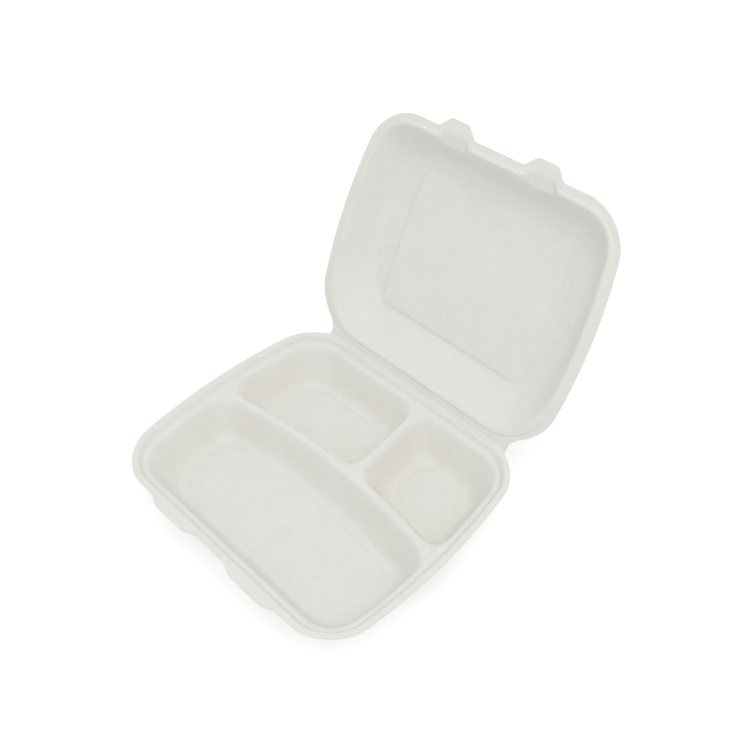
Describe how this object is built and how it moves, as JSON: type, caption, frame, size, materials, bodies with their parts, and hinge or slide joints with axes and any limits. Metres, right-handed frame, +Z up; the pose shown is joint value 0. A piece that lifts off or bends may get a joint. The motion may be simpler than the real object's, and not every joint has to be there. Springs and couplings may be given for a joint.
{
  "type": "clamshell food container",
  "caption": "Hinged moulded-pulp takeaway container: a shallow tray with compartments and a domed lid that folds over it and tucks its tabs over the tray's rim.",
  "frame": {"origin": "on the table, on the centre line, midway between the front tabs of the tray and the back of the raised lid", "axes": "+X along the hinge to the right seen from the front, +Y from the front edge towards the hinge and the lid, +Z up"},
  "size_m": [0.24, 0.2978, 0.2161],
  "materials": {
    "pulp": "matte moulded sugarcane pulp, warm white with fine fibres"
  },
  "bodies": {
    "tray": {"tray": "pulp"},
    "lid": {"lid": "pulp"}
  },
  "joints": [
    {"name": "lid_hinge", "type": "hinge", "parent": "tray", "child": "lid", "pos_m": [0, 0.04873, 0.03505], "axis": [1, 0, 0], "range_deg": [-62.8, 117.2]}
  ]
}
